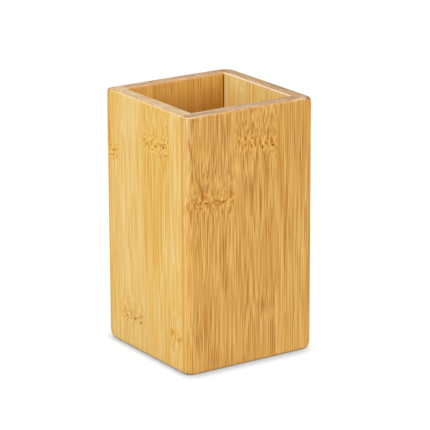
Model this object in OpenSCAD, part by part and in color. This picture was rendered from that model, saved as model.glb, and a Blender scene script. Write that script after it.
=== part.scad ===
// Square toothbrush cup of laminated bamboo, open at the top.
// Five flat boards are glued edge to edge from bamboo strips, joined round
// a floor board, and then sanded so that the outside edges are round.
// The origin is on the table under the middle of the cup. X runs to the
// right, Y to the back and Z up.

/* [Cup] */
// Width of the cup, from its left side to its right side
cup_w = 65; // [55:0.5:90]
// Depth of the cup, from front to back
cup_d = 65; // [55:0.5:90]
// Height of the cup
cup_h = 115; // [70:1:170]

/* [Boards] */
// Thickness of the four boards that are the walls
wall_t = 7; // [5:0.1:10]
// Thickness of the floor board
floor_t = 7; // [4:0.1:12]
// Depth of the rebates in the front board that the side boards sit in
rebate_depth = 2.4; // [1:0.1:4]

/* [Eased edges] */
// Radius of the four upright corners
corner_r = 1.6; // [1.5:0.1:4]
// Radius of the outer edge of the rim
rim_r = 1.2; // [0.4:0.1:1.5]
// Radius of the inner edge of the rim
mouth_r = 1; // [0.3:0.1:2]
// Radius of the outer edge that the cup stands on
foot_r = 1; // [0.3:0.1:1.5]

/* [Hidden] */

// Glue joints between the strips of each board, as shares of its width:
// from the back edge on the side boards, and from the left end elsewhere
left_joint_shares = [0.166, 0.494, 0.841];
right_joint_shares = [0.378, 0.709, 0.874];
front_joint_shares = [0.377, 0.709];
back_joint_shares = [0.353, 0.755];
floor_joint_shares = [0.31, 0.7];

// What is left of the front board outside each rebate
lip_t = wall_t - rebate_depth;
// Length of a side board, from the lip of the front board to the back
side_length = cup_d - lip_t;
// Clear width and depth between the walls
inner_w = cup_w - 2 * wall_t;
inner_d = cup_d - 2 * wall_t;
// Width and depth of the cup between its round corners
straight_w = cup_w - 2 * corner_r;
straight_d = cup_d - 2 * corner_r;
// How far a cutting shape runs past what it cuts
overrun = 1;
$fn = 64;

// Upright section from the middle of a block out to a face at distance reach,
// round where that face meets the rim and the foot
module half_section(reach) {
    intersection() {
        square([reach, cup_h]);
        union() {
            translate([0, foot_r]) square([reach, cup_h - foot_r - rim_r]);
            square([reach - foot_r, cup_h / 2]);
            translate([0, cup_h / 2]) square([reach - rim_r, cup_h / 2]);
            translate([reach - foot_r, foot_r]) circle(foot_r);
            translate([reach - rim_r, cup_h - rim_r]) circle(rim_r);
        }
    }
}

// The same section out to both sides, w wide in all
module full_section(w) {
    half_section(w / 2);
    mirror([1, 0]) half_section(w / 2);
}

// The outside of the sanded cup as one solid block: two crossing slabs and
// four round corner posts, all with the same eased rim and foot
module outside() {
    translate([0, straight_d / 2, 0]) rotate([90, 0, 0]) linear_extrude(straight_d) full_section(cup_w);
    translate([-straight_w / 2, 0, 0]) rotate([90, 0, 90]) linear_extrude(straight_w) full_section(cup_d);
    for (x = [-1, 1], y = [-1, 1])
        translate([x * straight_w / 2, y * straight_d / 2, 0]) rotate_extrude() half_section(corner_r);
}

// Section through the mouth at the rim. It is w wide between the walls and
// opens out by the radius of their inner edges.
module mouth_section(w) {
    difference() {
        translate([-w / 2 - mouth_r, cup_h - mouth_r]) square([w + 2 * mouth_r, mouth_r + overrun]);
        for (side = [-1, 1])
            translate([side * (w / 2 + mouth_r), cup_h - mouth_r]) circle(mouth_r);
    }
}

// What sanding takes off the inner edges of the rim, mitred in the corners
module mouth() {
    intersection() {
        translate([0, cup_d / 2, 0]) rotate([90, 0, 0]) linear_extrude(cup_d) mouth_section(inner_w);
        translate([-cup_w / 2, 0, 0]) rotate([90, 0, 90]) linear_extrude(cup_w) mouth_section(inner_d);
    }
}

// The blocks that are given, sanded to the shape of the finished cup
module sanded() {
    difference() {
        intersection() {
            children();
            outside();
        }
        mouth();
    }
}

// Upright block over the full height of the walls, between two x and two y
module upright(x, y) {
    translate([x[0], y[0], 0]) cube([x[1] - x[0], y[1] - y[0], cup_h]);
}

// Start and end of strip i of a board that is length long
function strip_span(shares, i, length) =
    let (ends = concat([0], shares, [1]))
    [ends[i - 1] * length, ends[i] * length];

// Strip i of the left board, counted from the back
module side_strip(i, shares) {
    span = strip_span(shares, i, side_length);
    sanded()
        upright([-cup_w / 2, -inner_w / 2], [cup_d / 2 - span[1], cup_d / 2 - span[0]]);
}

// Strip i of the front board, counted from the left. The first and the last
// one have a rebate inside, which the end of a side board fills.
module front_strip(i) {
    span = strip_span(front_joint_shares, i, cup_w);
    x0 = span[0] - cup_w / 2;
    x1 = span[1] - cup_w / 2;
    sanded()
        union() {
            upright([x0, x1], [-cup_d / 2, lip_t - cup_d / 2]);
            upright([max(x0, -inner_w / 2), min(x1, inner_w / 2)], [-cup_d / 2, -inner_d / 2]);
        }
}

// Strip i of the back board, counted from the left
module back_strip(i) {
    span = strip_span(back_joint_shares, i, inner_w);
    sanded()
        upright([span[0] - inner_w / 2, span[1] - inner_w / 2], [inner_d / 2, cup_d / 2]);
}

// Strip i of the floor board, counted from the left
module floor_strip(i) {
    span = strip_span(floor_joint_shares, i, inner_w);
    translate([span[0] - inner_w / 2, -inner_d / 2, 0]) cube([span[1] - span[0], inner_d, floor_t]);
}

module left_board_strip_1() {
    color("BurlyWood") side_strip(1, left_joint_shares);
}

module left_board_strip_2() {
    color("BurlyWood") side_strip(2, left_joint_shares);
}

module left_board_strip_3() {
    color("BurlyWood") side_strip(3, left_joint_shares);
}

module left_board_strip_4() {
    color("BurlyWood") side_strip(4, left_joint_shares);
}

module right_board_strip_1() {
    color("BurlyWood") mirror([1, 0, 0]) side_strip(1, right_joint_shares);
}

module right_board_strip_2() {
    color("BurlyWood") mirror([1, 0, 0]) side_strip(2, right_joint_shares);
}

module right_board_strip_3() {
    color("BurlyWood") mirror([1, 0, 0]) side_strip(3, right_joint_shares);
}

module right_board_strip_4() {
    color("BurlyWood") mirror([1, 0, 0]) side_strip(4, right_joint_shares);
}

module front_board_strip_1() {
    color("Tan") front_strip(1);
}

module front_board_strip_2() {
    color("Tan") front_strip(2);
}

module front_board_strip_3() {
    color("Tan") front_strip(3);
}

module back_board_strip_1() {
    color("Tan") back_strip(1);
}

module back_board_strip_2() {
    color("Tan") back_strip(2);
}

module back_board_strip_3() {
    color("Tan") back_strip(3);
}

module floor_board_strip_1() {
    color("Wheat") floor_strip(1);
}

module floor_board_strip_2() {
    color("Wheat") floor_strip(2);
}

module floor_board_strip_3() {
    color("Wheat") floor_strip(3);
}

left_board_strip_1();
left_board_strip_2();
left_board_strip_3();
left_board_strip_4();
right_board_strip_1();
right_board_strip_2();
right_board_strip_3();
right_board_strip_4();
front_board_strip_1();
front_board_strip_2();
front_board_strip_3();
back_board_strip_1();
back_board_strip_2();
back_board_strip_3();
floor_board_strip_1();
floor_board_strip_2();
floor_board_strip_3();
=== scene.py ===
import bpy
import numpy as np
from mathutils import Matrix, Vector


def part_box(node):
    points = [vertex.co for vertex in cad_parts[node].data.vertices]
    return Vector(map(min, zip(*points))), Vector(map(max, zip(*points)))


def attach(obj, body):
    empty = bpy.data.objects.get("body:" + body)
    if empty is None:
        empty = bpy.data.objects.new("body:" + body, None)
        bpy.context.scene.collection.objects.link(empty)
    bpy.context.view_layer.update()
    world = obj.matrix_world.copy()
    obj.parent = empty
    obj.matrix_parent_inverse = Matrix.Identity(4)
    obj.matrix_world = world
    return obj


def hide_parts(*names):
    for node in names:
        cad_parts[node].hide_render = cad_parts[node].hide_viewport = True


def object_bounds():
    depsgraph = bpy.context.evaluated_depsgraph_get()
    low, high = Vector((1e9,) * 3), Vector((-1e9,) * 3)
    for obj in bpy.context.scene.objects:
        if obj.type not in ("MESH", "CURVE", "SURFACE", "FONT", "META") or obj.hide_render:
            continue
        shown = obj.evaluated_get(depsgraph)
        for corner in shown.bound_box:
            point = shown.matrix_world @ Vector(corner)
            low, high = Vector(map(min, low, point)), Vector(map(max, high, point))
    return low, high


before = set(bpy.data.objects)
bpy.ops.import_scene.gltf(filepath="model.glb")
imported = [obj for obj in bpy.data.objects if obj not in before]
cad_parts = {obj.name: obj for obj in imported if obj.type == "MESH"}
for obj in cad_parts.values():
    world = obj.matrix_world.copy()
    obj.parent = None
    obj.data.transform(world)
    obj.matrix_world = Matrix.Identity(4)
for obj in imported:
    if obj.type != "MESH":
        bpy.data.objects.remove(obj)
cad_box = [list(corner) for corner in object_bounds()]

# Front board
# Three strips of bamboo, glued edge to edge under pressure, planed to 7 mm, cut to length and oiled.
# A rebate along each upright edge takes the front ends of the side boards, so that only the lip of
# this board shows beside them. The whole cup is sanded after gluing, which rounds its edges.
mm = 0.001
cup_lo, cup_hi = np.array(cad_box[0]), np.array(cad_box[1])
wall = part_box("back_board_strip_1")[1][1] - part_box("back_board_strip_1")[0][1]
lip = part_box("left_board_strip_4")[0][1] - cup_lo[1]
corner_r, rim_r, mouth_r, foot_r = 1.6 * mm, 1.2 * mm, 1.0 * mm, 1.0 * mm


def ramp(value, start, stop):
    """From 0 at start to 1 at stop along a straight line, and level past both."""
    return np.clip((value - start) / (stop - start), 0, 1)


def bell(value, half):
    """A bell curve, 1 in the middle and 1/e at its half width."""
    return np.exp(-(value / half) ** 2)


def rounding(distance, radius):
    """How far sanding has lowered a face at a distance from its edge: a quarter circle of the radius."""
    inside = np.clip(radius - distance, 0, radius)
    return radius - np.sqrt(radius ** 2 - inside ** 2)


def edge_distances(x, y):
    """Distances in from the outer wall and from the mouth, over a point of the plan. The outer wall is a
    square with round corners, so its distance is the radius less that to the corner's centre line."""
    qx, qy = np.abs(x) - cup_hi[0] + corner_r, np.abs(y) - cup_hi[1] + corner_r
    past_centre = np.hypot(np.maximum(qx, 0), np.maximum(qy, 0)) + np.minimum(np.maximum(qx, qy), 0)
    inner = np.maximum(np.abs(x) - cup_hi[0], np.abs(y) - cup_hi[1]) + wall
    return np.maximum(corner_r - past_centre, 0), np.maximum(inner, 0)


def sanded_ends(x, y):
    """Foot and rim height over a point of the plan: level, less the rounding of the nearest edges."""
    outer, inner = edge_distances(x, y)
    return cup_lo[2] + rounding(outer, foot_r), cup_hi[2] - rounding(outer, rim_r) - rounding(inner, mouth_r)


def edge_wear_and_light(x, y, z):
    """How much of a sanded edge a point lies on. On a rounding it counts from the larger of the point's
    distances to the two faces that meet there, as a share of the radius. Edges are pale, 1 at most,
    and most of all by the front left corner: pale from wear, with a painted highlight where the
    roundings face the lamps, most of all along the mouth of the back and right boards. Below 0, down
    to -1, they are brown: painted shade on the outer rounding of the rim of the back and right boards,
    with a darker band on the outer side of the right board's rim, and brown low on the right uprights."""
    outer, inner = edge_distances(x, y)
    below_rim, above_foot = cup_hi[2] - z, z - cup_lo[2]
    rim = 1 - np.maximum(outer, below_rim) / rim_r
    foot = 1 - np.maximum(outer, above_foot) / foot_r
    corner = 1 + np.minimum(np.abs(x) - cup_hi[0], np.abs(y) - cup_hi[1]) / corner_r
    far_board = np.maximum(x, y) > cup_hi[0] - wall / 2
    far_mouth = np.maximum(x, y) > cup_hi[0] - wall - mm

    from_near_corner = x + y - cup_lo[0] - cup_lo[1]
    by_board = np.where(y < x, 0.25 + 0.4 * (x > 22 * mm), 0.35)
    # Pale along the outer rim of the front and left boards, most near the front left corner: wear, and a
    # painted highlight on the rounding
    rim_line = (by_board + 0.5 * ramp(from_near_corner, 16 * mm, 0)) * ramp(rim, 0.4, 0.65)
    # A pale line at the mouth, strongest on the back and right boards: a painted highlight
    mouth_depth = np.where(x > y, 0.65, 0.45) * mouth_r
    mouth = ramp(inner, mouth_r, 0.875 * mouth_r) * ramp(below_rim, mouth_depth, mouth_depth - mouth_r / 6)
    mouth_highlight = mouth * np.where(far_mouth, np.where(y > x, 0.5, 1.0), 0.1)
    pale = np.maximum(np.where(far_board, 0, rim_line), mouth_highlight)

    # Brown on the rim of the back and right boards: painted shade on their outer rounding, and a darker band
    # on the outer side of the right board's rim
    brown = np.where(y > x, 0.57, 1.0) * ramp(rim, 0.04, 0.46)
    brown = brown + np.where(x > y, 0.65 * ramp(outer, 2.9 * mm, 1.1 * mm), 0)
    shaded_far_rim = far_board & ((rim > 0.1) | (below_rim < 0.5 * mm) & (mouth_highlight < 0.05))
    top = np.where(shaded_far_rim, -np.minimum(brown, 1), pale)

    # Uprights: paler towards the top of the front left edge, wear and a painted highlight; darker low on the
    # right uprights
    high = ramp(z, 30 * mm, 90 * mm)
    left_upright = 0.4 * high ** 2 + 0.4 * ramp(z, 104 * mm, 114 * mm)
    upright = np.where(x > 0, 0.5 * high - 0.35, left_upright) * ramp(corner, 0.13, 0.8)
    # Pale along the foot, most at the front corner: wear, and a painted highlight
    foot_corner = np.where(x + y < 0, 0.9, 0.2) * np.clip(foot, 0, 1) * np.clip(corner, 0, 1)
    foot_line = np.clip(0.84 * foot - 0.3 + foot_corner, 0, 1)
    return np.where(np.abs(top) > 0.02, top, np.where(foot > 0.2, foot_line, upright))


def ease_corners(x, y, z):
    """The eight corners are sanded round by hand, more at the foot and at the far corner. A point is
    pulled in along all three axes by a third of the soft excess of its distances from the corner's faces
    over a plane that cuts off the corner."""
    middle, half = 0.5 * (cup_lo + cup_hi), 0.5 * (cup_hi - cup_lo)
    dx, dy, dz = x - middle[0], y - middle[1], z - middle[2]
    top_cut = np.where(dx > 0, np.where(dy > 0, 3.4 * mm, 2.2 * mm), 1.8 * mm)
    cut = np.where(dz > 0, top_cut, 3.0 * mm)
    soft = np.where(np.minimum(x, y) > 0, 0.9 * mm, 0.5 * mm)
    excess = np.abs(dx) + np.abs(dy) + np.abs(dz) - half.sum() + cut
    pull = np.maximum(soft * (np.logaddexp(0, excess / soft) - np.logaddexp(0, -4)), 0) / 3
    return x - np.sign(dx) * pull, y - np.sign(dy) * pull, z - np.sign(dz) * pull


def ripple(a, b, seed, size):
    """Smooth unevenness from about -1 to 1: twelve waves of about the given length in seeded directions."""
    rng = np.random.default_rng(seed)
    turn, phase = rng.uniform(0, 2 * np.pi, 12), rng.uniform(0, 2 * np.pi, 12)
    length = size * rng.uniform(0.7, 1.6, 12)
    waves = [np.sin(2 * np.pi * (a * np.cos(t) + b * np.sin(t)) / s + p)
             for t, s, p in zip(turn, length, phase)]
    return sum(waves) / 4


def finer_near(start, stop, step, places, reach, fine):
    """Steps from start to stop, drawn closer together within reach of the given places."""
    grid = [np.linspace(start, stop, int((stop - start) / step) + 2)]
    for place in places:
        lo, hi = max(start, place - reach), min(stop, place + reach)
        if hi > lo:
            grid.append(np.linspace(lo, hi, int((hi - lo) / fine) + 2))
    grid = np.sort(np.concatenate(grid))
    keep = np.concatenate([[True], np.diff(grid) > 0.6 * fine])
    keep[-1] = True
    return grid[keep]


def fibre_place(u, w, z, grain):
    """Where the fibre through a point lies in the culm, in millimetres across, deep and along. Away from
    a knuckle the fibres run at a steady slope to the face, in a shallow bowl across the strip. By a
    knuckle they dive, by a depth that dies away as an exponential, so that the face cuts them short, and
    close to it they swing sideways."""
    u, w, z = u / mm, w / mm, z / mm
    seed, from_middle = grain["seed"], u - grain["middle"] / mm
    across = u + grain["sway"] * ripple(u, z * 0.10, seed, 7.0)
    deep = w + grain["slope"] * z + grain["wander"] * ripple(u * 0.5, z * 0.30, seed + 1, 9.0)
    deep = deep + grain["bowl"] * (from_middle / 10) ** 2
    for knuckle in grain["knuckles"]:
        up = z - knuckle["height"] - knuckle["slant"] * from_middle
        across = across + 0.25 * bell(up, knuckle["half"]) * ripple(u, z, seed + 2, 2.5)
        across = across + 0.15 * np.exp(-np.abs(up) / 9) * ripple(u, z * 0.3, seed + 3, 5.0)
        above, below = np.exp(-np.maximum(up, 0) / 9), 1.25 - 0.25 * np.exp(np.minimum(up, 0) / 2.5)
        deep = deep + knuckle["dive"] * np.where(up > 0, above, below)
    return np.stack([across, deep, z], -1)


def marks(u, z, knuckle):
    """Soft round marks, each at a place with a width, a height and a strength: up to 1 a brown blot,
    up to 2 a dark pit, and below 0 a pale fleck. A mark dies away as the exponential of its distance to
    the power 2.6, and the strongest mark at a point wins."""
    dark, pale = np.zeros_like(u), np.zeros_like(u)
    for mark_u, mark_z, width, height, strength in knuckle["pits"] + knuckle["blots"] + knuckle["flecks"]:
        size = 1.25 if strength > 1.2 else 1.0
        distance = np.hypot((u / mm - mark_u) / width, (z / mm - mark_z) / height) / size
        mark = strength * np.exp(-distance ** 2.6)
        dark, pale = np.maximum(dark, mark), np.minimum(pale, mark)
    return dark + pale * np.clip(1 - dark, 0, 1)


def stripes_over(across, u, z, grain):
    """Shift of the tone: a drift along the strip, and stripes along the fibres. A stripe fades to its
    sides as a bell curve and to its ends as one with a flat top, and its strength comes and goes."""
    shift = np.interp(z / mm, (8, 38, 70, 106), grain["along"])
    strength = 0.78 * (0.85 + 0.25 * ripple(u / mm * 0.3, z / mm, grain["seed"] + 9, 40.0))
    for place, half, darker, low, high in grain["stripes"]:
        ends = np.exp(-((2 * z / mm - low - high) / (high - low)) ** 4)
        shift = shift + darker * strength * ends * bell(across - place, half)
    return shift


pit_depth = 0.08 * mm
# What a point of a strip carries beside its place in the culm, for the material to read
painted = ("mark", "band", "rises", "stripe", "deep", "glue", "edge_on", "wear_and_light")


def paint(part, across, u, w, z, grain):
    """The painted values over one part of a strip's surface. The inside is painted darker, as shade, in a
    straight line with its depth below the rim, and so is the last of the mouth's rounding. A knuckle's
    band is a bell curve with a flat top, and the fibres rise out of the face by an exponential above and
    below it."""
    values = {label: np.zeros_like(u) for label in painted}
    # Painted shade: darker with depth inside the cup, and on the last of the mouth's rounding
    if part == "inner":
        shade_start, shade_reach = 4 * mm, 14 * mm
        values["deep"] = np.clip((cup_hi[2] - shade_start - z) / shade_reach, 0, 1.3)
    if part == "rim":
        values["deep"] = 0.8 * np.clip(1.8 - 2.8 * (wall - w) / mouth_r, 0, 1)
    if part == grain["striped"]:
        values["stripe"] = stripes_over(across, u, z, grain)
    for knuckle in grain["knuckles"]:
        wobble = 0.5 * ripple(u / mm, z * 0, grain["seed"] + 7, 5.0)
        up = z / mm - knuckle["height"] - knuckle["slant"] * (u - grain["middle"]) / mm - wobble
        if part in ("outer", "inner"):
            clear_of_corner = ramp(np.abs(u), cup_hi[0] - 1.8 * mm, cup_hi[0] - 2.8 * mm)
            values["band"] = np.exp(-(up / knuckle["half"]) ** 4) * clear_of_corner
        above, below = np.exp(-np.maximum(up, 0) / 9), np.exp(np.minimum(up, 0) / 12)
        values["rises"] = np.where(up > 0, above, below)
        if part == "outer":
            values["mark"] = marks(u, z, knuckle)
    values["glue"], values["edge_on"] = grain["glue"](u, w, part)
    return values


def strip_mesh(name, node, place, ends, outline, grain):
    """A strip is drawn on a grid over its plan: each column runs from its outer line to its inner line.
    Four upright sides join the height of its foot to that of its rim, and top and bottom follow them.
    Pits are sunk a little below the face. place turns across, depth below the outer face, and along into
    x, y and z."""
    outer_u, outer_w, inner_u, inner_w = outline
    quarter = 1 - np.cos(np.pi / 2 * np.linspace(0, 1, 7))
    flat = np.linspace(rim_r * 1.5, wall - mouth_r * 1.4, 6)
    t = np.concatenate([rim_r * quarter, flat, wall - mouth_r * quarter[::-1]]) / wall
    plan_u = outer_u[:, None] + t * (inner_u - outer_u)[:, None]
    plan_w = outer_w[:, None] + t * (inner_w - outer_w)[:, None]
    foot, rim = ends(plan_u, plan_w)
    low, tall = foot.min(), rim.max() - foot.min()
    knuckle_shares = [(knuckle["height"] * mm - low) / tall for knuckle in grain["knuckles"]]
    v = finer_near(0, 1, 0.8 * mm / tall, knuckle_shares, 6.0 * mm / tall, 0.3 * mm / tall)

    def side(pick):
        """An upright side over a row of the plan, in equal shares of the height from foot to rim."""
        pu, pw, pf, pr = [values[pick][:, None] for values in (plan_u, plan_w, foot, rim)]
        return np.stack(np.broadcast_arrays(pu, pw, pf + v * (pr - pf)), -1)

    parts = {"outer": side(np.s_[:, 0]), "inner": side(np.s_[:, -1]),
             "start": side(np.s_[0, :]), "stop": side(np.s_[-1, :]),
             "rim": np.stack([plan_u, plan_w, rim], -1), "foot": np.stack([plan_u, plan_w, foot], -1)}
    half_way = np.array(low + 0.5 * tall)
    centre = np.array(place(np.array(plan_u.mean()), np.array(plan_w.mean()), half_way))
    points, quads, carried, count = [], [], [], 0
    for part, grid in parts.items():
        gu, gw, gz = np.moveaxis(grid, -1, 0)
        fibre = fibre_place(gu, gw, gz, grain)
        values = paint(part, fibre[..., 0], gu, gw, gz, grain)
        x, y, z = place(gu, gw + pit_depth * np.clip(values["mark"] - 1, 0, 1), gz)
        values["wear_and_light"] = edge_wear_and_light(x, y, z)
        here = np.stack(ease_corners(x, y, z), -1).reshape(-1, 3)
        index = np.arange(gu.size).reshape(gu.shape)
        quad = np.stack([index[:-1, :-1], index[1:, :-1], index[1:, 1:], index[:-1, 1:]], -1).reshape(-1, 4)
        corners = here[quad]
        normal = np.cross(corners[:, 2] - corners[:, 0], corners[:, 3] - corners[:, 1])
        outward = ((corners.mean(1) - centre) * normal).sum() > 0
        points.append(here)
        quads.append((quad if outward else quad[:, ::-1]) + count)
        carried.append(np.column_stack([fibre.reshape(-1, 3), *[values[label].ravel() for label in painted]]))
        count += gu.size
    points, quads, carried = np.concatenate(points), np.concatenate(quads), np.concatenate(carried)
    micron = np.round(points / (0.001 * mm)).astype(np.int64)
    _, first, same = np.unique(micron, axis=0, return_index=True, return_inverse=True)
    points, carried, quads = points[first], carried[first].astype(np.float32), same.reshape(-1)[quads]
    mesh = bpy.data.meshes.new(name)
    mesh.from_pydata(points, [], quads.tolist())
    mesh.attributes.new("fibre", "FLOAT_VECTOR", "POINT").data.foreach_set("vector", carried[:, :3].ravel())
    for column, label in enumerate(painted, 3):
        mesh.attributes.new(label, "FLOAT", "POINT").data.foreach_set("value", carried[:, column].ravel())
    mesh.shade_smooth()
    mesh.set_sharp_from_angle(angle=np.radians(30))
    piece = bpy.data.objects.new(name, mesh)
    bpy.context.scene.collection.objects.link(piece)
    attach(piece, "root")
    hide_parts(node)
    return piece


def pits_of(strip):
    """All the pits of a strip's knuckles."""
    return [pit for knuckle in strip["knuckles"] for pit in knuckle["pits"]]


def columns(start, stop, pits, rounded=(False, False), rebated=(False, False)):
    """Outer and inner line of a strip between two places across the board. A rounded edge follows the
    cup's corner, and a rebated one stops at the lip until the rebate's shoulder. Glued edges are eased
    by a hair."""
    arc = corner_r * (1 - np.cos(np.linspace(0, np.pi / 2, 10)))
    hair = np.array([0, 0.08, 0.2, 0.4, 0.7]) * mm
    near_start, near_stop = start + (arc if rounded[0] else hair), stop - (arc if rounded[1] else hair)
    lo, hi = near_start.max(), near_stop.min()
    by_mouth = np.array([-1.0, -0.6, -0.3, 0, 0.2, 0.45, 0.8]) * mm
    mouth = np.concatenate([by_mouth - cup_hi[0] + wall, cup_hi[0] - wall - by_mouth])
    middle = finer_near(lo, hi, 0.35 * mm, [pit[0] * mm for pit in pits], 0.6 * mm, 0.17 * mm)[1:-1]
    inside = mouth[(lo < mouth) & (mouth < hi)]
    u = np.unique(np.round(np.concatenate([near_start, middle, near_stop, inside]), 7))
    outer_w, inner_w = np.zeros_like(u), np.full_like(u, wall)
    for is_rounded, edge, way in zip(rounded, (start, stop), (1, -1)):
        distance = way * (u - edge)
        if is_rounded:
            outer_w = outer_w + rounding(distance, corner_r)
        else:
            eased = 0.02 * mm * ramp(distance, 0.2 * mm, 0) ** 2
            outer_w, inner_w = outer_w + eased, inner_w - eased
    inner_u = u.copy()
    for is_rebated, edge, way in zip(rebated, (start, stop), (1, -1)):
        if is_rebated:
            shoulder = edge + way * wall
            past = way * (u - shoulder)
            inner_w = np.where(past < -1e-7, lip, inner_w)
            half_step = 0.3 * mm
            step = np.linspace(-half_step, half_step, 9)
            keep = np.abs(past) > half_step + 0.01 * mm
            order = np.argsort(np.concatenate([u[keep], shoulder + step]))
            depth = lip + (wall - lip) * 0.5 * (1 + way * step / half_step)
            inner_u = np.concatenate([inner_u[keep], np.full(step.size, shoulder)])[order]
            inner_w = np.concatenate([inner_w[keep], depth])[order]
            outer_w = np.concatenate([outer_w[keep], np.zeros(step.size)])[order]
            u = np.concatenate([u[keep], shoulder + step])[order]
    return u, outer_w, inner_u, inner_w


# Cream for edges pale from wear and painted highlights; brown for painted shade on the far rim and for the
# darker low right uprights; the painted shade inside the cup; then thin glue, and thick glue, also used for
# the glue line with painted shade up the inner corners
wear_and_highlight_colour, brown_and_shade_colour, depth_shade_colour = (0.84, 0.72, 0.53), (0.30, 0.155, 0.072), (0.45, 0.16, 0.02)
thin_glue, thick_glue = (0.60, 0.285, 0.016), (0.11, 0.033, 0.006)


def bamboo(name, tones, scar, ground, end_tones, streak=0.6, fine=0.65, coarse=1.0, mark_size=(1.1, 2.6),
           ground_share=0.35, blots=0.35, pit=(0.12, 0.03, 0.002), depth_shade_share=0.0, side_tones=None,
           shift=0.0):
    """Planed and oiled bamboo. Fibres are noise drawn out along the culm, as a sum that runs through four
    tones from pale to brown: streaks by the weight of streak, and hairs by that of fine. Knuckle marks
    are blots of the scar colour on a warm ground, and end grain shows the same noise cut across."""
    material = bpy.data.materials.new(name)
    material.use_nodes = True
    nodes, link = material.node_tree.nodes, material.node_tree.links.new
    nodes.clear()
    out = nodes.new("ShaderNodeOutputMaterial")
    surface = nodes.new("ShaderNodeBsdfPrincipled")
    link(surface.outputs[0], out.inputs[0])

    def attribute(label, output="Fac"):
        node = nodes.new("ShaderNodeAttribute")
        node.attribute_name = label
        return node.outputs[output]

    fibre = attribute("fibre", "Vector")

    def drawn_out(width, deep, length, offset, detail=0.0):
        """Noise whose grains are this wide, deep and long in millimetres."""
        place = nodes.new("ShaderNodeMapping")
        place.inputs["Location"].default_value = (offset + shift, offset * 1.7 + shift, offset)
        place.inputs["Scale"].default_value = (1 / width, 1 / deep, 1 / length)
        link(fibre, place.inputs["Vector"])
        noise = nodes.new("ShaderNodeTexNoise")
        noise.inputs["Scale"].default_value = 1.0
        noise.inputs["Detail"].default_value = detail
        noise.inputs["Roughness"].default_value = 0.5
        link(place.outputs[0], noise.inputs["Vector"])
        return noise.outputs[0]

    def between(value, lo, hi, to_lo=0.0, to_hi=1.0):
        """A value carried over from one range to another along a smooth step."""
        node = nodes.new("ShaderNodeMapRange")
        node.interpolation_type = "SMOOTHSTEP"
        for key, number in (("From Min", lo), ("From Max", hi), ("To Min", to_lo), ("To Max", to_hi)):
            node.inputs[key].default_value = number
        link(value, node.inputs["Value"])
        return node.outputs[0]

    def maths(kind, *values):
        node = nodes.new("ShaderNodeMath")
        node.operation = kind
        for socket, value in zip(node.inputs, values):
            if isinstance(value, (int, float)):
                socket.default_value = value
            else:
                link(value, socket)
        return node.outputs[0]

    def times(a, b):
        return maths("MULTIPLY", a, b)

    def weighed(noise, weight, onto, middle=0.5):
        """The noise about its middle, times its weight, on top of a value."""
        return maths("MULTIPLY_ADD", maths("SUBTRACT", noise, middle), weight, onto)

    def blend(amount, a, b):
        node = nodes.new("ShaderNodeMix")
        node.data_type = "RGBA"
        for socket, value in ((node.inputs[0], amount), (node.inputs[6], a), (node.inputs[7], b)):
            if isinstance(value, tuple):
                socket.default_value = (*value, 1.0)
            else:
                link(value, socket)
        return node.outputs[2]

    broad = drawn_out(3.5, 1.6, 90, 3.0)
    bundle = drawn_out(0.34 * coarse, 0.6 * coarse, 50, 11.0)
    hair = drawn_out(0.23 * coarse, 0.45 * coarse, 35, 23.0)
    strokes = drawn_out(0.42 * coarse, 1.2, 6, 87.0)
    layers = drawn_out(7.0, 1.0, 80, 71.0, detail=1.0)
    mottle = drawn_out(mark_size[0], 2 * mark_size[0], mark_size[1], 41.0)
    warm = drawn_out(1.1, 2.0, 60, 57.0)

    rises, band = attribute("rises"), attribute("band")
    tone = weighed(broad, 0.35 * streak, 0.5)
    tone = weighed(bundle, maths("MULTIPLY_ADD", rises, 0.6 * streak, 1.8 * streak), tone)
    tone = weighed(hair, 4.6 * fine, tone)
    tone = weighed(strokes, times(times(rises, rises), 8.0 * fine), tone, middle=0.475)
    tone = maths("ADD", tone, attribute("stripe"))

    def four_tones(colours):
        ramp_node = nodes.new("ShaderNodeValToRGB")
        while len(ramp_node.color_ramp.elements) < 4:
            ramp_node.color_ramp.elements.new(0.5)
        for element, place, colour in zip(ramp_node.color_ramp.elements, (0.05, 0.38, 0.66, 1.0), colours):
            element.position, element.color = place, (*colour, 1.0)
        link(tone, ramp_node.inputs[0])
        return ramp_node.outputs[0]

    body = four_tones(tones)
    # Side tones: the pale cut along the fibres on the lip's sides, and painted light, lighter tones, on the
    # inside of the right board
    if side_tones:
        body = blend(attribute("edge_on"), body, four_tones(side_tones))
    body = blend(between(warm, 0.35, 0.65, 0.0, 0.16), body, ground)

    # The knuckle's band: a warm ground with brown blots and pale flecks, then its own marks and pits
    pale = tuple(min(0.9, 1.12 * share) for share in tones[0])
    body = blend(times(band, ground_share), body, ground)
    body = blend(times(between(mottle, 0.56, 0.68), times(band, blots)), body, scar)
    body = blend(times(between(mottle, 0.34, 0.44, 1.0, 0.0), times(band, 0.8 * blots)), body, pale)
    mark = attribute("mark")
    body = blend(times(between(mark, 0.1, 0.75), between(hair, 0.38, 0.6, 0.6, 1.0)), body, scar)
    body = blend(between(mark, 0.9, 1.4), body, pit)
    body = blend(between(mark, -1.0, 0.0, 0.8, 0.0), body, pale)

    # End grain, where the surface is level
    geometry = nodes.new("ShaderNodeNewGeometry")
    normal = nodes.new("ShaderNodeSeparateXYZ")
    link(geometry.outputs["Normal"], normal.inputs[0])
    cut = between(maths("ABSOLUTE", normal.outputs[2]), 0.5, 0.93)
    dots = weighed(bundle, 1.2, weighed(layers, 4.5, 0.5))
    body = blend(times(cut, 0.95), body, blend(dots, *end_tones))

    # Pale edges from wear and painted highlights, brown painted shade on the far rim, painted shade inside
    # the cup, and the glue lines lie over everything else
    wear_and_light, glue = attribute("wear_and_light"), attribute("glue")
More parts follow.
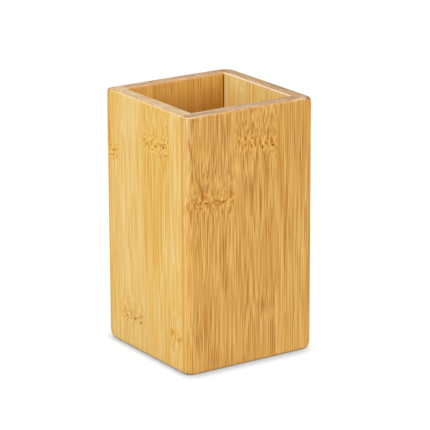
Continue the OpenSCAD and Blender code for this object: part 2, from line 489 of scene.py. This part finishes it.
    # Pale edges: wear, and painted highlights on the roundings
    ragged = times(between(wear_and_light, 0.0, 1.0, 0.0, 0.95), between(hair, 0.4, 0.6, 0.3, 1.0))
    body = blend(ragged, body, wear_and_highlight_colour)
    # Brown: painted shade on the outer rounding of the far rim, and darker low on the right uprights
    body = blend(between(wear_and_light, -1.0, 0.0, 0.9, 0.0), body, brown_and_shade_colour)
    # Painted shade inside the cup, darker with depth, heaviest on the back board
    body = blend(times(attribute("deep"), depth_shade_share), body, depth_shade_colour)
    # Glue lines; up the inner corners glue with painted shade
    body = blend(glue, body, blend(between(glue, 0.72, 1.0), thin_glue, thick_glue))
    link(body, surface.inputs["Base Color"])
    link(between(hair, 0.3, 0.7, 0.36, 0.52), surface.inputs["Roughness"])
    surface.inputs["Specular IOR Level"].default_value = 0.3
    bump = nodes.new("ShaderNodeBump")
    bump.inputs["Strength"].default_value = 0.25
    bump.inputs["Distance"].default_value = 0.05 * mm
    link(maths("ADD", hair, bundle), bump.inputs["Height"])
    link(bump.outputs[0], surface.inputs["Normal"])
    return material


def glued(lo, hi, faint, inside=0.0, lip_band=0.0, lit_inside=0.0):
    """Darkness of the glue lines, and how far a place takes the side tones. Glue is a hair along each
    glued edge, a line up the inner corners with painted shade in the corner, and on the board with the lip a
    band beside the joint on the outer side and a line over the rim. The lip's side shows the pale cut along
    the fibres; on the inner face the side tones are painted light, lighter tones for the inside of the
    right board. The three widths are in millimetres."""
    hair, corner_line, rim_line = 0.25, 0.95, 0.35

    def darkness(u, w, part):
        edge = np.minimum(u - lo, hi - u) / mm
        line = faint * ramp(edge, hair, 0)
        edge_on = np.full_like(u, lit_inside if part == "inner" else 0.0)
        # Up the inner corners a glue line with painted shade in the corner
        if part == "inner" and inside:
            from_corner = (cup_hi[0] - wall - np.abs(u)) / mm
            line = np.maximum(line, inside * ramp(from_corner, corner_line, corner_line - 0.3))
        if lip_band and part in ("start", "stop"):
            line = lip_band * ramp(w / mm, 2.4, 3.0)
            edge_on = np.ones_like(u)
        if lip_band and part == "outer":
            edge_on = np.interp(edge, (0, 0.15, 0.5, 1.9, 2.2), (1, 0.6, 0.4, 0.35, 0))
        if lip_band and part == "rim":
            over_joint = bell(w - lip, rim_line * mm) * (np.abs(u) > cup_hi[0] - wall)
            line = np.maximum(line, 0.62 * over_joint)
        return line, edge_on
    return darkness


def front_place(u, w, z):
    """Across is x, and depth runs back from the front face."""
    return u, cup_lo[1] + w, z


def front_ends(u, w):
    """Foot and rim height over the plan of the front board."""
    return sanded_ends(*front_place(u, w, 0)[:2])


# Sizes are in millimetres. Along a strip the tone drifts over four heights from foot to rim, and is
# darker above 0. A stripe has its place across, half width, tone, and the heights it fades out by, which
# are -30 and 150 on one that runs right through. A knuckle has its height, slant, half width and the
# dive of its fibres. Its marks are listed, each with its place across, its height on the cup,
# its width and length, and its strength.
front_strips = [
    {"name": "front_strip_left", "node": "front_board_strip_1", "wander": 0.15, "bowl": 1.2,
     "along": (-.11, -.01, -.05, .01),
     "stripes": [(-31.3, .8, .45, -30, 56), (-29.4, .4, .15, 74, 150), (-8.9, .8, .4, -30, 150)],
     "knuckles": [{"height": 75.5, "slant": -0.02, "half": 3.6, "dive": -2.2,
         "pits": [(-27.8, 77.0, .4, .5, 1.3), (-25.8, 76.7, .35, .7, 1.4), (-22.8, 76.2, .8, .4, 1.5),
             (-19.7, 75.7, .35, .5, 1.8), (-17.2, 76.6, .5, .4, 1.7), (-16.3, 76.0, .6, .4, 1.7),
             (-13.9, 75.5, .5, .4, 1.8), (-15.0, 75.6, .7, .35, 1.2), (-16.8, 78.7, .4, .5, 1.2),
             (-20.2, 74.2, .4, .4, 1.1), (-9.0, 75.0, .45, .8, 1.2), (-29.1, 113.6, .35, 1.0, 1.3)],
         "blots": [(-22.5, 79.0, .4, .6, 1.0), (-12.0, 77.0, .35, .8, .8), (-13.5, 73.7, .3, .6, .8),
             (-24.7, 78.9, .9, 1.8, .9), (-25.0, 82.0, .9, 3.0, .6), (-26.1, 82.3, .22, 3.2, .8),
             (-23.2, 82.0, .25, 2.2, .7), (-12.0, 84.0, .25, 3.2, .8), (-10.0, 84.6, .5, 2.4, .5),
             (-10.2, 78.3, .8, 2.2, .9), (-10.3, 81.8, .6, 2.0, .5), (-10.5, 71.6, .7, 2.2, .95),
             (-28.0, 78.7, .9, 1.3, .7), (-16.0, 74.7, 1.2, .9, .8), (-27.4, 71.8, .35, 1.5, .9),
             (-28.8, 75.7, .3, 1.2, .8), (-18.2, 76.0, .3, 1.3, .8), (-25.8, 74.6, .35, .9, .7),
             (-29.0, 111.0, .28, 3.0, .8), (-29.0, 105.5, .22, 4.0, .45)],
         "flecks": [(-21.6, 79.6, .35, 1.8, -.9), (-14.8, 77.4, .6, .7, -.9), (-19.3, 74.5, .4, .6, -.9),
             (-24.7, 75.0, .5, .6, -.8), (-11.8, 74.4, .8, 1.4, -.8), (-23.3, 73.7, 1.4, .7, -.7),
             (-17.3, 83.0, 1.2, 3.2, -.5), (-28.9, 77.6, .35, .8, -.7), (-27.1, 75.1, .3, .8, -.8),
             (-14.4, 79.2, .25, 1.2, -.7), (-10.6, 76.2, .4, .5, -.8), (-20.6, 77.3, .35, .9, -.7),
             (-14.3, 73.8, .4, 1.2, -.5)]}]},
    {"name": "front_strip_middle", "node": "front_board_strip_2", "wander": 0.15, "bowl": 1.2,
     "along": (.02, .01, -.04, -.05),
     "stripes": [],
     "knuckles": [{"height": 98.7, "slant": -0.15, "half": 4.0, "dive": -2.2,
         "pits": [(-2.7, 101.6, .35, .9, 1.4), (1.0, 101.4, .5, .4, 1.8), (6.2, 96.6, .35, .7, 1.6),
             (7.8, 98.2, .35, .6, 1.5), (11.8, 96.7, .55, .35, 1.9), (1.5, 98.3, .4, 1.1, 1.1)],
         "blots": [(-3.2, 102.9, .3, .6, .9), (9.2, 95.7, .4, .4, .9), (0.0, 98.3, .45, 1.1, 1.0),
             (2.7, 98.7, .4, 2.0, .9), (5.2, 99.3, .4, 2.4, .9), (-4.2, 98.7, .35, 2.2, .7),
             (-2.3, 98.3, .5, 1.6, .6), (9.3, 103.3, .6, 2.2, .8), (9.0, 100.8, .6, 2.0, .9),
             (11.0, 98.9, .7, 2.0, .9), (-5.8, 100.3, .35, 1.8, .8), (-7.2, 99.0, .3, 2.0, .9),
             (-4.8, 104.3, .4, 2.4, .6), (1.0, 104.2, .4, 2.2, .6), (-1.2, 104.0, .3, 2.2, .6),
             (6.8, 103.7, .4, 2.0, .55), (-1.0, 96.0, .3, 1.4, .7), (1.0, 95.0, .3, 1.8, .7),
             (6.3, 93.6, .3, 1.8, .7), (3.5, 94.2, .3, 1.8, .7), (-2.2, 94.6, .35, 2.0, .7)],
         "flecks": [(-5.0, 97.7, .4, 2.2, -.9), (1.0, 100.3, .9, .5, -.9), (3.8, 99.7, .4, 2.2, -.8),
             (7.4, 100.8, .35, 1.6, -.9), (9.9, 101.0, .35, 1.6, -.9), (12.0, 99.2, .3, 2.2, -.9),
             (6.1, 100.4, .35, 1.6, -.6), (2.3, 93.7, .4, 2.2, -.7), (4.7, 94.6, .5, 2.6, -.7),
             (-1.0, 102.3, .35, 1.4, -.6), (-3.5, 96.0, .8, 1.2, -.5)]}]},
    {"name": "front_strip_right", "node": "front_board_strip_3", "wander": 0.1, "bowl": 0.3,
     "along": (-.24, -.07, 0, .06),
     "stripes": [(14.2, .9, 1.3, 26, 150), (15.5, .4, .5, -30, 150), (16.6, .4, -.22, -30, 150),
         (17.6, .4, .4, 0, 34), (18.9, .5, .4, -30, 150), (18.9, .5, .7, 24, 74),
         (20.1, .35, -.2, -30, 150), (21.5, .5, -.34, -30, 150), (22.5, .35, .3, -30, 150),
         (23.5, .6, -.42, -30, 150), (23.3, .6, -.7, 76, 150), (23.2, .5, -.5, -30, 28),
         (25.0, .3, .1, -30, 150), (25.8, .5, -.35, -30, 150), (25.7, .4, -.3, 50, 150),
         (27.3, .4, -.15, 0, 60), (27.7, .35, -.25, 74, 150), (29.2, .6, -.6, 50, 76),
         (29.7, .4, .35, -30, 50), (31.5, 1.0, .7, 72, 150), (31.6, .9, 1.3, -30, 74)],
     "knuckles": []},
]
front_tones = ((0.65, 0.394, 0.104), (0.59, 0.318, 0.071), (0.52, 0.244, 0.0415), (0.39, 0.142, 0.0155))
edge_tones = ((0.77, 0.53, 0.20), (0.73, 0.465, 0.14), (0.70, 0.41, 0.09), (0.65, 0.34, 0.04))
front_scar, front_ground = (0.40, 0.12, 0.004), (0.73, 0.41, 0.05)
front_end_tones = ((0.57, 0.39, 0.235), (0.375, 0.215, 0.11))
for number, strip in enumerate(front_strips):
    lo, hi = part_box(strip["node"])
    first, last = number == 0, number == len(front_strips) - 1
    outline = columns(lo[0], hi[0], pits_of(strip), rounded=(first, last), rebated=(first, last))
    knotty = bool(strip["knuckles"])
    # Up the inner corners a faint glue line with painted shade
    grain = dict(strip, middle=0.5 * (lo[0] + hi[0]), seed=10 + number, striped="outer",
                 slope=0.025 if knotty else 0.008, sway=0.12 if knotty else 0.08,
                 glue=glued(lo[0], hi[0], 0.2, inside=0.3, lip_band=0.7 if first or last else 0))
    piece = strip_mesh(strip["name"], strip["node"], front_place, front_ends, outline, grain)
    piece.data.materials.append(bamboo(
        "oiled bamboo, " + strip["name"].replace("_", " "), front_tones, front_scar, front_ground,
        front_end_tones, side_tones=edge_tones, streak=0.35 if last else 0.6, fine=0.86,
        mark_size=(0.45, 1.8), ground_share=0.25, blots=0.7, shift=7.3 * number))

# Side boards
# Four strips each, as thick as the front board. Their front ends are glued into its rebates, and they
# run through to the back of the cup. These strips were sawn along the culm, so their grain is straight.


def left_place(u, w, z):
    """Across is y, and depth runs right from the left face."""
    return cup_lo[0] + w, u, z


def right_place(u, w, z):
    """Across is y, and depth runs left from the right face."""
    return cup_hi[0] - w, u, z


# A riper culm is more orange: ripe runs from 0 for the yellow tones to 1 for the orange ones.
side_strips = [
    {"name": "left_strip_back", "node": "left_board_strip_1", "place": left_place, "ripe": 0.5,
     "along": (.06, .2, .06, .2),
     "stripes": [(29.6, .6, .9, 74, 150), (30.5, .7, 1.0, -30, 150), (31.3, .6, .8, -30, 72)],
     "knuckles": [{"height": 87.5, "slant": 0.0, "half": 3.8, "dive": -1.2,
         "pits": [(26.7, 87.8, .5, .45, 1.5), (26.7, 85.9, .45, .4, 1.5), (28.6, 89.7, .4, .6, 1.1)],
         "blots": [(24.9, 84.8, .7, .35, .9), (28.4, 85.6, 1.1, .35, 1.0), (24.7, 88.0, .5, 1.1, .7),
             (26.3, 90.3, .6, .6, .7), (25.7, 93.0, .4, 2.6, .4), (29.9, 98, .8, 18, .5)],
         "flecks": [(24.7, 89.7, .5, .6, -.7), (28.0, 86.8, .9, .35, -.8), (25.4, 86.8, .5, .5, -.6)]}]},
    {"name": "left_strip_wide", "node": "left_board_strip_2", "place": left_place, "ripe": 0.0,
     "along": (0, 0, 0, .1),
     "stripes": [(22.2, .4, .1, 40, 90), (20.9, .5, -.1, -30, 150), (15.2, .5, .08, -30, 150),
         (13.9, .45, -.09, -30, 150), (10.8, .4, .07, -30, 150), (9.1, .4, -.07, -30, 150),
         (7.0, .4, .05, -30, 150), (4.9, .4, -.09, -30, 150), (2.9, .25, .06, -30, 150)],
     "knuckles": [{"height": 15.4, "slant": 0.0, "half": 3.0, "dive": -1.2,
         "pits": [(16.8, 13.9, .8, .6, 1.2), (10.4, 14.1, .6, .45, 1.8), (5.2, 13.7, .7, .6, 1.3)],
         "blots": [(11.6, 13.7, .7, .3, .9), (5.2, 16.6, .9, 1.1, .9), (22.8, 14.6, .6, .5, .9),
             (22.8, 15.8, .7, .6, .7), (18.8, 16.4, .6, 1.4, .7), (16.4, 12.0, .5, 1.2, .6),
             (8.2, 15.6, .6, 1.6, .6), (20.9, 15.5, .5, 1.0, .4), (14.2, 15.8, .4, 1.6, .4)],
         "flecks": [(16.0, 14.9, .6, .5, -.6), (9.8, 15.2, .5, .5, -.6), (4.4, 15.2, .5, .8, -.6),
             (19.8, 14.2, .5, .8, -.5)]}]},
    {"name": "left_strip_middle", "node": "left_board_strip_3", "place": left_place, "ripe": 1.0,
     "along": (-.14, -.04, .23, .14),
     "stripes": [(-1.0, .4, -.06, -30, 150), (-2.8, .4, .09, 40, 90), (-4.2, .4, .07, 10, 62),
         (-6.8, .35, .12, 44, 92), (-10.0, .4, .05, -30, 150), (-16.5, .4, .1, -30, 150),
         (-18.0, .3, .08, -30, 150)],
     "knuckles": [{"height": 97.6, "slant": 0.0, "half": 4.0, "dive": -1.8,
         "pits": [(-14.2, 98.0, .7, .55, 1.7), (-1.3, 96.9, .8, .5, 1.4), (-7.8, 97.3, .8, .5, 1.3),
             (-10.7, 99.3, .7, .28, 1.1), (-14.2, 99.5, .7, .25, 1.2), (-16.5, 98.6, .6, .4, 1.2)],
         "blots": [(-4.7, 98.5, .8, .7, .9), (1.0, 96.7, .5, .35, .9), (-2.5, 95.5, .7, .4, .7),
             (0.2, 95.5, .5, .4, .7), (-16.8, 107.6, .5, .35, 1.0), (-14.0, 101.5, 1.6, 1.1, .5),
             (-17.6, 101.5, .7, 1.1, .8), (-6.7, 100.3, 1.3, 1.0, .4), (-16.0, 94.8, 1.4, 1.0, .7),
             (-15.8, 90.7, .8, 4.8, .5), (-11.5, 94.0, .7, 1.6, .6), (-1.5, 92.7, .4, 1.2, .5),
             (1.3, 98.3, 1.0, 1.4, .4), (-14.7, 105.0, 1.2, 2.6, .3), (-2.0, 100.5, 1.6, .6, .35),
             (-5.5, 101.5, 2.0, .3, .4), (-9.0, 98.6, 1.5, .25, .5)],
         "flecks": [(-11.0, 97.4, .8, 1.0, -.5), (-5.6, 96.6, .9, .5, -.5),
             (-9.0, 100.2, 1.0, .6, -.5)]}]},
    {"name": "left_strip_front", "node": "left_board_strip_4", "place": left_place, "ripe": 0.05,
     "along": (.05, .07, .18, -.03),
     "stripes": [(-19.9, .4, -.1, -30, 150), (-22.0, .4, .07, -30, 150), (-24.2, .3, .09, 90, 150),
         (-24.6, .4, -.1, -30, 90), (-26.0, .35, -.12, 42, 78), (-27.2, .3, -.6, 38, 86)],
     "knuckles": [{"height": 15.2, "slant": 0.0, "half": 3.6, "dive": -1.6,
         "pits": [(-22.5, 15.9, .4, .45, 1.6), (-22.3, 13.8, .5, .7, 1.5)],
         "blots": [(-25.3, 14.0, .6, .7, .9), (-19.6, 16.5, 1.3, 2.0, .55), (-19.2, 14.0, .8, .7, .7),
             (-21.9, 16.9, .4, 1.3, .7), (-20.7, 9.8, .7, 2.2, .5), (-25.3, 9.8, .5, 1.6, .4),
             (-26.5, 14.4, .5, 1.5, .6)],
         "flecks": [(-22.5, 17.9, .5, .8, -.8), (-23.0, 10.3, .5, 2.2, -.7), (-17.9, 16.0, .5, 1.6, -.5),
             (-24.0, 12.2, .5, 1.0, -.5)]}]},
    {"name": "right_strip_back", "node": "right_board_strip_1", "place": right_place, "ripe": 0.1,
     "along": (0, .1, .1, 0),
     "stripes": [(26.0, .5, .1, -30, 150), (12.0, .5, -.1, -30, 150)],
     "knuckles": [{"height": 41.0, "slant": 0.0, "half": 3.8, "dive": -1.6,
         "pits": [(14.0, 41.5, .5, .4, 1.6), (19.0, 40.2, .4, .4, 1.6), (24.0, 41.0, .6, .4, 1.6),
             (28.0, 41.6, .4, .4, 1.4)],
         "blots": [(15.0, 42.5, .8, 1.4, .8), (20.0, 39.6, 1.1, .8, .8), (26.0, 42.0, .8, 1.6, .7)],
         "flecks": [(17.0, 40.4, .5, .8, -.7), (22.0, 41.6, .6, .9, -.7)]}]},
    {"name": "right_strip_wide", "node": "right_board_strip_2", "place": right_place, "ripe": 0.6,
     "along": (.1, 0, 0, .1),
     "stripes": [(6.0, .5, .12, -30, 150), (3.2, .5, -.1, -30, 150), (-2.5, .4, .1, -30, 90),
         (-7.0, .5, -.12, -30, 150)],
     "knuckles": []},
    {"name": "right_strip_middle", "node": "right_board_strip_3", "place": right_place, "ripe": 0.4,
     "along": (0, 0, .1, .1),
     "stripes": [(-15.4, .4, .1, -30, 150)],
     "knuckles": [{"height": 84.0, "slant": 0.0, "half": 3.8, "dive": -1.6,
         "pits": [(-12.5, 84.5, .5, .4, 1.6), (-17.0, 83.4, .5, .4, 1.6)],
         "blots": [(-13.5, 83.0, .9, 1.4, .8), (-18.0, 85.0, .7, 1.6, .8)],
         "flecks": [(-15.0, 84.2, .6, .8, -.7)]}]},
    {"name": "right_strip_front", "node": "right_board_strip_4", "place": right_place, "ripe": 0.8,
     "along": (.1, .1, 0, 0),
     "stripes": [(-22.2, .4, .1, -30, 150), (-25.0, .5, -.1, -30, 150)],
     "knuckles": []},
]
yellow_tones = ((0.768, 0.563, 0.227), (0.745, 0.515, 0.165), (0.72, 0.455, 0.112), (0.675, 0.368, 0.056))
orange_tones = ((0.75, 0.535, 0.19), (0.73, 0.476, 0.126), (0.71, 0.425, 0.081), (0.645, 0.325, 0.033))
side_scar, side_ground, side_pit = (0.50, 0.19, 0.008), (0.72, 0.425, 0.042), (0.32, 0.10, 0.002)
left_end_tones = ((0.66, 0.485, 0.285), (0.51, 0.335, 0.168))
right_end_tones = ((0.56, 0.37, 0.19), (0.35, 0.18, 0.07))
# Painted light: the inside of the right board takes tones lighter by these gains in red, green and blue, up
# to the palest
painted_light_gain, palest = np.array([1.34, 1.46, 1.88]), 0.95
ground_shares = {"left_strip_wide": 0.3, "left_strip_front": 0.5}
for number, strip in enumerate(side_strips):
    place, ripe = strip["place"], strip["ripe"]
    on_right = place is right_place
    tones = [tuple(a + ripe * (b - a) for a, b in zip(*pair)) for pair in zip(yellow_tones, orange_tones)]
    painted_light_tones = [tuple(np.minimum(palest, np.array(tone) * painted_light_gain)) for tone in tones]
    lo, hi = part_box(strip["node"])
    reaches_back = hi[1] > cup_hi[1] - mm
    outline = columns(lo[1], hi[1], pits_of(strip), rounded=(False, reaches_back))
    grain = dict(strip, middle=0.5 * (lo[1] + hi[1]), seed=30 + number, striped="outer", slope=0.01,
                 wander=0.2, bowl=0.4, sway=0.12,
                 glue=glued(lo[1], hi[1], 0.08, lit_inside=1.0 if on_right else 0.0))
    piece = strip_mesh(strip["name"], strip["node"], place,
                       lambda u, w: sanded_ends(*place(u, w, 0)[:2]), outline, grain)
    piece.data.materials.append(bamboo(
        "oiled bamboo, " + strip["name"].replace("_", " "), tones, side_scar, side_ground,
        right_end_tones if on_right else left_end_tones, streak=0.6 if on_right else 0.36,
        fine=1.1 if on_right else 0.88, coarse=1.15, mark_size=(0.5, 1.1),
        ground_share=ground_shares.get(strip["name"], 0.75), blots=0.8, pit=side_pit, depth_shade_share=0.15,
        side_tones=painted_light_tones, shift=40 + 5.1 * number))

# Back board
# Three strips, glued in between the two side boards, whose outer faces it is flush with.
# Its inner face is the one that shows, so the stripes are there.


def back_place(u, w, z):
    """Across is x, and depth runs forward from the back face."""
    return u, cup_hi[1] - w, z


def back_ends(u, w):
    """Foot and rim height over the plan of the back board."""
    return sanded_ends(*back_place(u, w, 0)[:2])


back_strips = [
    {"name": "back_strip_left", "node": "back_board_strip_1",
     "along": (.05, .05, .05, .05),
     "stripes": [(-11.0, .6, .3, -30, 150), (-9.0, .4, .2, -30, 150), (-13.5, .5, -.15, -30, 150)],
     "knuckles": [{"height": 62.0, "slant": 0.0, "half": 3.8, "dive": -2.2,
         "pits": [(-22.0, 62.5, .5, .5, 1.7), (-17.5, 61.4, .5, .4, 1.7), (-12.5, 62.6, .5, .6, 1.6),
             (-9.8, 61.0, .4, .4, 1.5)],
         "blots": [(-20.0, 63.9, 1.0, 1.8, .9), (-13.0, 60.3, .9, 1.8, .8), (-15.2, 64.5, .6, 2.2, .7)],
         "flecks": [(-19.4, 61.4, .5, .8, -.8), (-15.0, 61.8, .7, .7, -.8),
             (-11.0, 63.0, .5, 1.6, -.7)]}]},
    {"name": "back_strip_middle", "node": "back_board_strip_2",
     "along": (.05, .05, .05, .05),
     "stripes": [(-6.2, .5, .35, -30, 150), (-3.0, .6, -.12, -30, 150), (2.2, .9, .3, -30, 150),
         (4.4, .35, -.35, -30, 150), (9.0, .5, .2, -30, 150), (10.7, .4, -.3, -30, 150)],
     "knuckles": []},
    {"name": "back_strip_right", "node": "back_board_strip_3",
     "along": (.1, .1, .1, .04),
     "stripes": [(15.4, .6, .2, -30, 150), (18.3, .9, .35, -30, 150), (21.4, .4, -.3, -30, 150),
         (23.2, .4, -.1, -30, 150), (24.6, .6, -.3, -30, 150)],
     "knuckles": [{"height": 30.0, "slant": 0.0, "half": 3.8, "dive": -2.2,
         "pits": [(15.5, 30.6, .5, .5, 1.7), (19.0, 29.2, .5, .4, 1.6), (22.8, 30.4, .5, .5, 1.7)],
         "blots": [(16.8, 31.8, 1.0, 1.8, .9), (21.4, 28.3, .9, 1.8, .8), (20.6, 32.4, .6, 2.2, .6)],
         "flecks": [(17.4, 30.0, .5, .9, -.8), (20.8, 30.6, .6, .9, -.8)]}]},
]
back_tones = ((0.86, 0.56, 0.165), (0.765, 0.432, 0.095), (0.665, 0.32, 0.057), (0.45, 0.165, 0.022))
back_scar, back_ground = (0.40, 0.15, 0.035), (0.84, 0.48, 0.12)
back_end_tones = ((0.59, 0.39, 0.205), (0.38, 0.205, 0.085))
for number, strip in enumerate(back_strips):
    lo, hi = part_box(strip["node"])
    outline = columns(lo[0], hi[0], pits_of(strip))
    # By the right board the inner corner takes a dark line: glue with painted shade in the corner
    by_right_board = number == len(back_strips) - 1
    grain = dict(strip, middle=0.5 * (lo[0] + hi[0]), seed=60 + number, striped="inner", slope=0.012,
                 wander=0.3, bowl=0.5, sway=0.2,
                 glue=glued(lo[0], hi[0], 0.4, inside=1.0 if by_right_board else 0.0))
    piece = strip_mesh(strip["name"], strip["node"], back_place, back_ends, outline, grain)
    piece.data.materials.append(bamboo(
        "oiled bamboo, " + strip["name"].replace("_", " "), back_tones, back_scar, back_ground,
        back_end_tones, streak=0.28, fine=0.28, depth_shade_share=0.72, shift=90 + 6.7 * number))

# Floor board
# Three strips, cut to the inside of the four boards and glued in level with their lower edges.
# They lie from front to back.
floor_lo, floor_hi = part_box("floor_board_strip_1")


def floor_place(u, w, along):
    """Across is x, depth runs down from the top, and along is y."""
    return u, along, floor_hi[2] - w


def floor_ends(u, w):
    """The front and the back end, which are square."""
    return np.full_like(u, floor_lo[1]), np.full_like(u, floor_hi[1])


for number, name in enumerate(("floor_strip_left", "floor_strip_middle", "floor_strip_right")):
    node = "floor_board_strip_" + str(number + 1)
    lo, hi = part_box(node)
    grain = {"middle": 0.5 * (lo[0] + hi[0]), "seed": 80 + number, "knuckles": [], "striped": None,
             "slope": 0.012, "wander": 0.3, "bowl": 0.5, "sway": 0.2, "glue": glued(lo[0], hi[0], 0.2)}
    piece = strip_mesh(name, node, floor_place, floor_ends, columns(lo[0], hi[0], []), grain)
    piece.data.materials.append(bamboo(
        "oiled bamboo, " + name.replace("_", " "), back_tones, back_scar, back_ground, back_tones[1:3],
        streak=0.5, shift=130 + 6.7 * number))

# Stage
# A pale table top, white to the camera but for the shadow at the foot of the cup, under soft studio
# light from the upper left, from overhead and from behind.
table = bpy.data.meshes.new("table_top")
table.from_pydata([(-3, -3, 0), (3, -3, 0), (3, 3, 0), (-3, 3, 0)], [], [(0, 1, 2, 3)])
table_top = bpy.data.objects.new("table_top", table)
bpy.context.scene.collection.objects.link(table_top)
pale_top = bpy.data.materials.new("pale table top")
pale_top.use_nodes = True
nodes, link = pale_top.node_tree.nodes, pale_top.node_tree.links.new
nodes.clear()


def soft_step(value, lo, hi, to_lo, to_hi):
    """A value carried over from one range to another along a smooth step."""
    node = nodes.new("ShaderNodeMapRange")
    node.interpolation_type = "SMOOTHSTEP"
    for key, number in (("From Min", lo), ("From Max", hi), ("To Min", to_lo), ("To Max", to_hi)):
        node.inputs[key].default_value = number
    link(value, node.inputs["Value"])
    return node.outputs[0]


def to_camera(plain, seen):
    """A shader that is plain to the light and another to the camera."""
    path = nodes.new("ShaderNodeLightPath")
    mix = nodes.new("ShaderNodeMixShader")
    link(path.outputs["Is Camera Ray"], mix.inputs[0])
    link(plain.outputs[0], mix.inputs[1])
    link(seen.outputs[0], mix.inputs[2])
    return mix


# The shadow at the foot reaches farther in front than at the sides, and thins out to the right and back.
out = nodes.new("ShaderNodeOutputMaterial")
matt = nodes.new("ShaderNodeBsdfDiffuse")
matt.inputs["Color"].default_value = (0.8, 0.8, 0.8, 1)
shaded = nodes.new("ShaderNodeBsdfDiffuse")
shaded.inputs["Color"].default_value = (0.12, 0.12, 0.12, 1)
position = nodes.new("ShaderNodeNewGeometry")
split = nodes.new("ShaderNodeSeparateXYZ")
link(position.outputs["Position"], split.inputs[0])
close = nodes.new("ShaderNodeAmbientOcclusion")
link(soft_step(split.outputs[1], -34.5 * mm, -31 * mm, 7.5 * mm, 4 * mm), close.inputs["Distance"])
farther = nodes.new("ShaderNodeMath")
farther.operation = "MAXIMUM"
link(split.outputs[0], farther.inputs[0])
link(split.outputs[1], farther.inputs[1])
shade = nodes.new("ShaderNodeMath")
shade.operation = "POWER"
link(close.outputs["AO"], shade.inputs[0])
link(soft_step(farther.outputs[0], 24 * mm, 33.5 * mm, 1.15, 0.4), shade.inputs[1])
glow = nodes.new("ShaderNodeEmission")
glow.inputs["Strength"].default_value = 0.9
link(shade.outputs[0], glow.inputs["Color"])
both = nodes.new("ShaderNodeAddShader")
link(shaded.outputs[0], both.inputs[0])
link(glow.outputs[0], both.inputs[1])
link(to_camera(matt, both).outputs[0], out.inputs[0])
table.materials.append(pale_top)

world = bpy.data.worlds.new("studio")
bpy.context.scene.world = world
world.use_nodes = True
nodes, link = world.node_tree.nodes, world.node_tree.links.new
nodes.clear()
out = nodes.new("ShaderNodeOutputWorld")
room = nodes.new("ShaderNodeBackground")
room.inputs["Strength"].default_value = 0.525
white = nodes.new("ShaderNodeBackground")
white.inputs["Strength"].default_value = 1.0
link(to_camera(room, white).outputs[0], out.inputs[0])


def soft_box(name, place, size, power):
    """A square lamp that faces the middle of the cup."""
    lamp = bpy.data.lights.new(name, "AREA")
    lamp.size, lamp.energy = size, power
    lamp_object = bpy.data.objects.new(name, lamp)
    lamp_object.location = place
    toward = Vector(place) - Vector((0, 0, 0.06))
    lamp_object.rotation_euler = toward.to_track_quat("Z", "Y").to_euler()
    bpy.context.scene.collection.objects.link(lamp_object)


soft_box("key_lamp", (-1.5, -0.75, 1.3), 1.4, 27.5)
soft_box("front_lamp", (0.9, -1.7, 0.8), 1.2, 12.6)
soft_box("top_lamp", (0.45, -0.1, 1.7), 1.0, 12)
soft_box("back_lamp", (-0.5, 1.5, 1.0), 0.9, 4.5)

# The camera looks down on the front left corner from a little above.
camera_place = (-0.597819, -0.902709, 0.387151)
yaw, pitch, roll = np.radians([33.658, 16.860, -0.237])
picture_width, focal_length = 430, 2563.06
ahead = np.array([np.sin(yaw) * np.cos(pitch), np.cos(yaw) * np.cos(pitch), -np.sin(pitch)])
level = np.array([np.cos(yaw), -np.sin(yaw), 0])
upward = np.cross(level, ahead)
across = level * np.cos(roll) + upward * np.sin(roll)
upright = -level * np.sin(roll) + upward * np.cos(roll)
camera = bpy.data.cameras.new("camera")
camera.sensor_width = 36
camera.lens = focal_length * camera.sensor_width / picture_width
camera_object = bpy.data.objects.new("camera", camera)
bpy.context.scene.collection.objects.link(camera_object)
turn = Matrix(np.stack([across, upright, -ahead], 1).tolist()).to_4x4()
camera_object.matrix_world = Matrix.Translation(camera_place) @ turn
bpy.context.scene.camera = camera_object
bpy.context.scene.view_settings.view_transform = "Standard"
